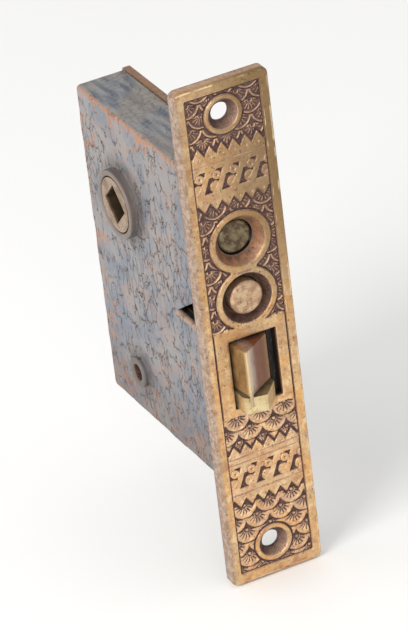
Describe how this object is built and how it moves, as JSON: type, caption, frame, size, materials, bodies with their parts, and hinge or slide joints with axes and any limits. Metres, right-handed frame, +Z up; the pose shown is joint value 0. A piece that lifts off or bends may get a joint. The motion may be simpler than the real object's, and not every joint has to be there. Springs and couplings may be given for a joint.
{
  "type": "mortise lock",
  "caption": "Antique mortise latch lock: ornamented bronze front with push stop buttons and a swinging bevelled latch, on a shallow cast-iron case with square knob hubs.",
  "frame": {"origin": "centre of the face plate's front face, on the plain panel between the lower button cup and the bolt window", "axes": "+X out of the face plate, +Y towards the cover (right, seen from the front), +Z up"},
  "size_m": [0.0784, 0.0258, 0.1396],
  "materials": {
    "plate_bronze": "antique cast bronze, raised parts rubbed bright, recesses dark",
    "case_iron": "bare grey cast iron with brown stain and coppery worn edges",
    "screw_steel": "plain oiled steel",
    "works_steel": "worn steel with brown film",
    "spring_steel": "blued spring steel",
    "hub_brass": "worn cast brass, pinkish where rubbed",
    "latch_brass": "worn pale brass, bright on the ridge",
    "button_bronze": "rubbed bronze",
    "works_brass": "dull brass"
  },
  "bodies": {
    "lock_case": {"face_plate": "plate_bronze", "case_body": "case_iron", "case_cover": "case_iron", "cover_screw": "screw_steel", "front_screw_upper": "screw_steel", "front_screw_lower": "screw_steel", "hub_spring": "spring_steel", "latch_spring": "spring_steel", "rocker_pin": "screw_steel", "slide_guide_pin": "screw_steel", "detent_spring": "spring_steel"},
    "outside_hub": {"hub_outside": "hub_brass"},
    "inside_hub": {"hub_inside": "hub_brass"},
    "latch": {"latch_head": "latch_brass", "latch_tail": "works_steel", "tail_rivet": "screw_steel", "tongue_pin": "screw_steel", "tongue_spring": "spring_steel"},
    "tongue": {"latch_tongue": "latch_brass"},
    "upper_button": {"button_upper": "button_bronze"},
    "lower_button": {"button_lower": "button_bronze"},
    "rocker": {"stop_rocker": "works_brass"},
    "slide_bar": {"stop_slide": "works_steel"}
  },
  "joints": [
    {"name": "inside_hub_turn", "type": "hinge", "parent": "lock_case", "child": "inside_hub", "pos_m": [-0.0506, 0, 0.0183], "axis": [0, 1, 0], "range_deg": [0, 22.5], "deforming": ["hub_spring"]},
    {"name": "outside_hub_turn", "type": "hinge", "parent": "lock_case", "child": "outside_hub", "pos_m": [-0.0506, 0, 0.0183], "axis": [0, 1, 0], "range_deg": [0, 22.5]},
    {"name": "latch_slide", "type": "slide", "parent": "lock_case", "child": "latch", "axis": [-1, 0, 0], "range_m": [0, 0.00691], "stiffness_N_per_m": 100, "springref_m": -0.03, "deforming": ["latch_spring"]},
    {"name": "tongue_swing", "type": "hinge", "parent": "latch", "child": "tongue", "pos_m": [-0.0085, -0.0038, -0.0095], "axis": [0, 0, 1], "range_deg": [0, 12], "stiffness_Nm_per_rad": 0.05, "springref_deg": -11.46, "deforming": ["tongue_spring"]},
    {"name": "lower_button_press", "type": "slide", "parent": "lock_case", "child": "lower_button", "axis": [-1, 0, 0], "range_m": [0, 0.003]},
    {"name": "upper_button_release", "type": "slide", "parent": "lock_case", "child": "upper_button", "axis": [1, 0, 0], "range_m": [0, 0.003]},
    {"name": "stop_rocker_tilt", "type": "hinge", "parent": "lock_case", "child": "rocker", "pos_m": [-0.017, 0, 0.01777], "axis": [0, 1, 0], "range_deg": [0, 22.5]},
    {"name": "stop_slide_shift", "type": "slide", "parent": "lock_case", "child": "slide_bar", "axis": [-1, 0, 0], "range_m": [0, 0.0024]}
  ],
  "couplings": [
    {"joint": "inside_hub_turn", "follows": "latch_slide", "rad_per_m": 55.556},
    {"joint": "outside_hub_turn", "follows": "latch_slide", "rad_per_m": 55.556},
    {"joint": "upper_button_release", "follows": "lower_button_press", "ratio": 1},
    {"joint": "stop_rocker_tilt", "follows": "lower_button_press", "rad_per_m": 127},
    {"joint": "stop_slide_shift", "follows": "lower_button_press", "ratio": 0.787}
  ]
}
